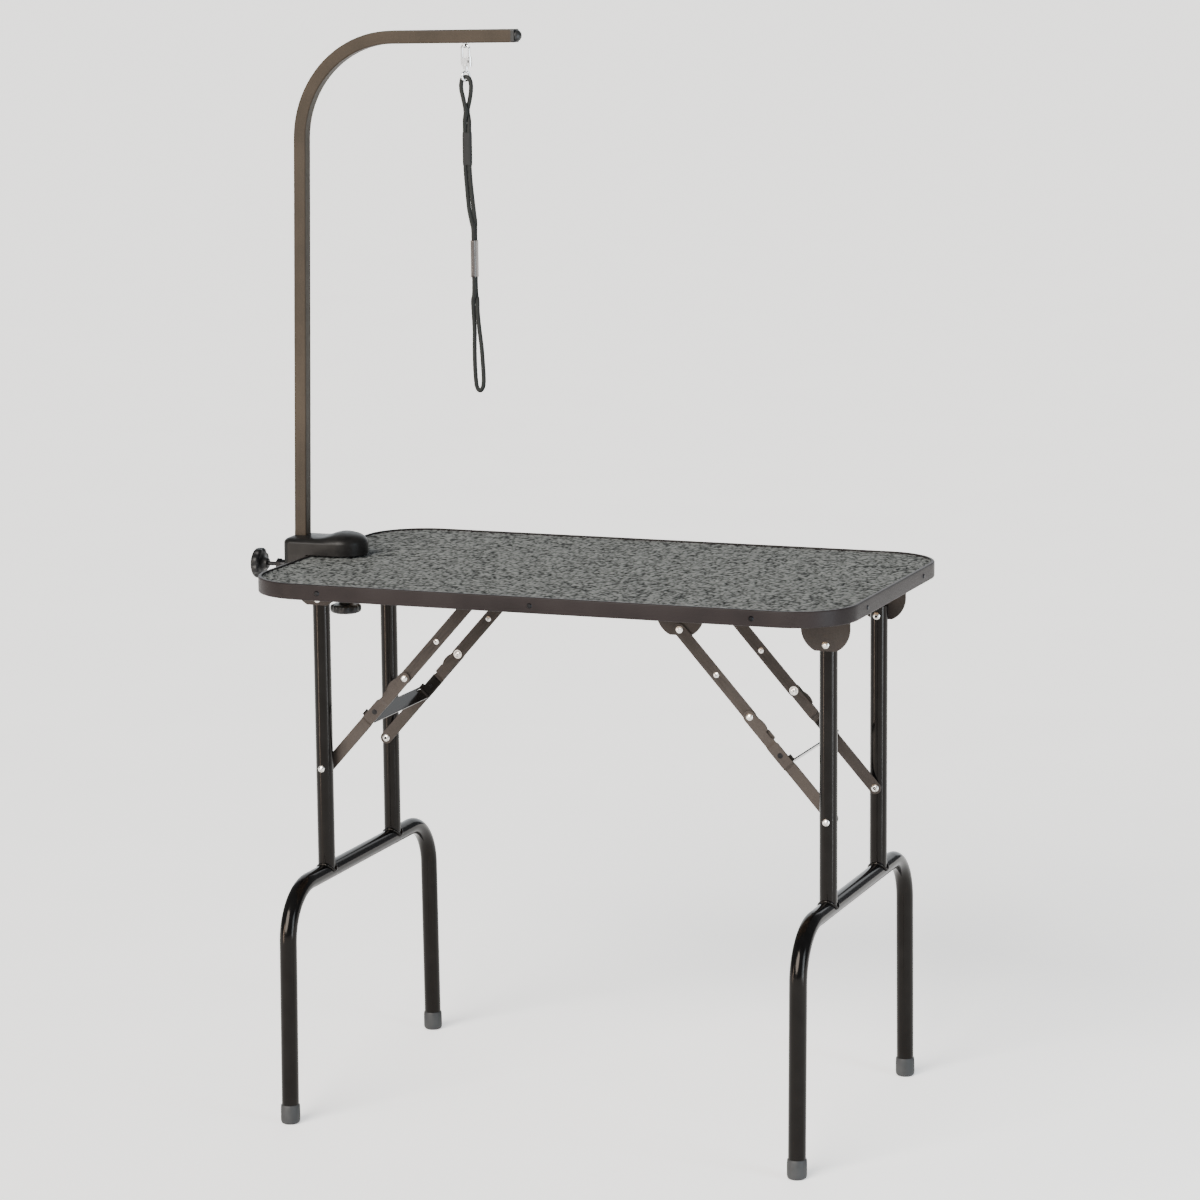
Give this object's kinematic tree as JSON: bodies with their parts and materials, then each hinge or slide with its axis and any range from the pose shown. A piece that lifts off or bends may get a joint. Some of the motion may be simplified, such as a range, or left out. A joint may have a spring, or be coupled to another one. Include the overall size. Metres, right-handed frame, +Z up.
{
  "type": "folding grooming table",
  "caption": "Folding table with a textured rubber top, steel leg frames with folding braces, and a clamp-on arm that hangs a noose from a snap hook.",
  "frame": {"origin": "on the floor under the middle of the table top", "axes": "+X along the table towards the end with no clamp, -Y to the front, +Z up"},
  "size_m": [1.0034, 0.5542, 1.5729],
  "materials": {
    "deck": "matt board",
    "mat": "matt, wrinkled grain",
    "rim_paint": "fine textured powder coat",
    "steel_paint": "textured powder coat",
    "leg_paint": "satin",
    "arm_paint": "textured powder coat",
    "rivet_steel": "bright zinc",
    "dark_screw": "black oxide",
    "screw_steel": "zinc plated",
    "foot_rubber": "matt",
    "cover_plastic": "satin",
    "knob_plastic": "satin",
    "cap_plastic": "satin",
    "chrome": "polished",
    "cord": "braided nylon",
    "sleeve": "stitched webbing",
    "slider": "glossy, smoke brown"
  },
  "bodies": {
    "table_top": {"board": "deck", "mat": "mat", "edge_rim": "rim_paint", "rim_screws": "dark_screw", "bracket_screws": "screw_steel", "right_leg_brackets": "steel_paint", "right_brace_brackets": "steel_paint", "right_bracket_rivets": "rivet_steel", "left_leg_brackets": "steel_paint", "left_brace_brackets": "steel_paint", "left_bracket_rivets": "rivet_steel"},
    "right_leg": {"right_uprights": "leg_paint", "right_leg_tube": "leg_paint", "right_weld_beads": "leg_paint", "right_feet": "foot_rubber", "right_brace_rivets": "rivet_steel", "right_brace_washers": "rivet_steel"},
    "right_upper": {"right_upper_links": "steel_paint", "right_link_studs": "rivet_steel"},
    "right_lower": {"right_lower_links": "steel_paint", "right_knuckle_rivets": "rivet_steel", "right_cross_plate": "leg_paint", "right_plate_screws": "dark_screw"},
    "left_leg": {"left_uprights": "leg_paint", "left_leg_tube": "leg_paint", "left_weld_beads": "leg_paint", "left_feet": "foot_rubber", "left_brace_rivets": "rivet_steel", "left_brace_washers": "rivet_steel"},
    "left_upper": {"left_upper_links": "steel_paint", "left_link_studs": "rivet_steel"},
    "left_lower": {"left_lower_links": "steel_paint", "left_knuckle_rivets": "rivet_steel", "left_cross_plate": "leg_paint", "left_plate_screws": "dark_screw"},
    "clamp": {"clamp_frame": "steel_paint", "clamp_cover": "cover_plastic", "cover_screws": "screw_steel", "jaw_pad": "foot_rubber", "lock_boss": "dark_screw"},
    "lock_point": {"lock_tip": "dark_screw"},
    "lock_handle": {"lock_screw": "dark_screw", "lock_knob": "knob_plastic"},
    "clamp_foot": {"swivel_pad": "screw_steel"},
    "clamp_handle": {"clamp_screw": "screw_steel", "clamp_knob": "knob_plastic"},
    "arm": {"arm_tube": "arm_paint", "arm_end_cap": "cap_plastic", "arm_foot_plug": "cap_plastic", "arm_eye": "chrome"},
    "snap_hook": {"snap_body": "chrome", "snap_spring": "screw_steel"},
    "bolt": {"snap_bolt": "chrome"},
    "noose": {"snap_ring": "chrome", "noose_cord": "cord", "noose_sleeve": "sleeve"},
    "slider": {"noose_slider": "slider"}
  },
  "joints": [
    {"name": "right_leg_fold", "type": "hinge", "parent": "table_top", "child": "right_leg", "pos_m": [0.388, 0, 0.731], "axis": [0, 1, 0], "range_deg": [0, 89]},
    {"name": "right_upper_fold", "type": "hinge", "parent": "table_top", "child": "right_upper", "pos_m": [0.16, 0, 0.734], "axis": [0, 1, 0], "range_deg": [-49, 0.5]},
    {"name": "right_lower_fold", "type": "hinge", "parent": "right_leg", "child": "right_lower", "pos_m": [0.388, 0, 0.478], "axis": [0, 1, 0], "range_deg": [-0.5, 41.5]},
    {"name": "left_leg_fold", "type": "hinge", "parent": "table_top", "child": "left_leg", "pos_m": [-0.388, 0, 0.754], "axis": [0, -1, 0], "range_deg": [0, 90]},
    {"name": "left_upper_fold", "type": "hinge", "parent": "table_top", "child": "left_upper", "pos_m": [-0.16, 0, 0.757], "axis": [0, -1, 0], "range_deg": [-49, 0.5]},
    {"name": "left_lower_fold", "type": "hinge", "parent": "left_leg", "child": "left_lower", "pos_m": [-0.388, 0, 0.501], "axis": [0, -1, 0], "range_deg": [-0.5, 41.5]},
    {"name": "clamp_slide", "type": "slide", "parent": "table_top", "child": "clamp", "axis": [0, 1, 0], "range_m": [-0.075, 0.075]},
    {"name": "arm_height", "type": "slide", "parent": "clamp", "child": "arm", "axis": [0.0209, 0, 0.9998], "range_m": [-0.2, 0.035]},
    {"name": "lock_turn", "type": "hinge", "parent": "lock_point", "child": "lock_handle", "pos_m": [-0.5, 0, 0.779], "axis": [-1, 0, 0], "range_deg": [0, 720.5]},
    {"name": "lock_advance", "type": "slide", "parent": "clamp", "child": "lock_point", "axis": [-1, 0, 0], "range_m": [0, 0.0025]},
    {"name": "clamp_turn", "type": "hinge", "parent": "clamp_foot", "child": "clamp_handle", "pos_m": [-0.404, 0, 0.74], "axis": [0, 0, -1], "range_deg": [0, 1080.5]},
    {"name": "clamp_advance", "type": "slide", "parent": "clamp", "child": "clamp_foot", "axis": [0, 0, -1], "range_m": [0, 0.0045]},
    {"name": "hook_swing", "type": "hinge", "parent": "arm", "child": "snap_hook", "pos_m": [-0.19765, 0, 1.5463], "axis": [0, 1, 0], "range_deg": [-45, 25]},
    {"name": "bolt_slide", "type": "slide", "parent": "snap_hook", "child": "bolt", "axis": [0, 0, -1], "range_m": [0, 0.005], "stiffness_N_per_m": 600, "springref_m": -0.004, "deforming": ["snap_spring"]},
    {"name": "noose_turn", "type": "hinge", "parent": "snap_hook", "child": "noose", "pos_m": [-0.19765, 0, 1.51], "axis": [0, 0, 1], "continuous": true},
    {"name": "slider_slide", "type": "slide", "parent": "noose", "child": "slider", "axis": [0, 0, 1], "range_m": [-0.018, 0.008]}
  ],
  "couplings": [
    {"joint": "right_upper_fold", "follows": "right_leg_fold", "ratio": -0.53439},
    {"joint": "right_lower_fold", "follows": "right_leg_fold", "ratio": 0.46097},
    {"joint": "left_upper_fold", "follows": "left_leg_fold", "ratio": -0.53698},
    {"joint": "left_lower_fold", "follows": "left_leg_fold", "ratio": 0.45266},
    {"joint": "lock_turn", "follows": "lock_advance", "rad_per_m": 5026.5},
    {"joint": "clamp_turn", "follows": "clamp_advance", "rad_per_m": 4188.8}
  ]
}
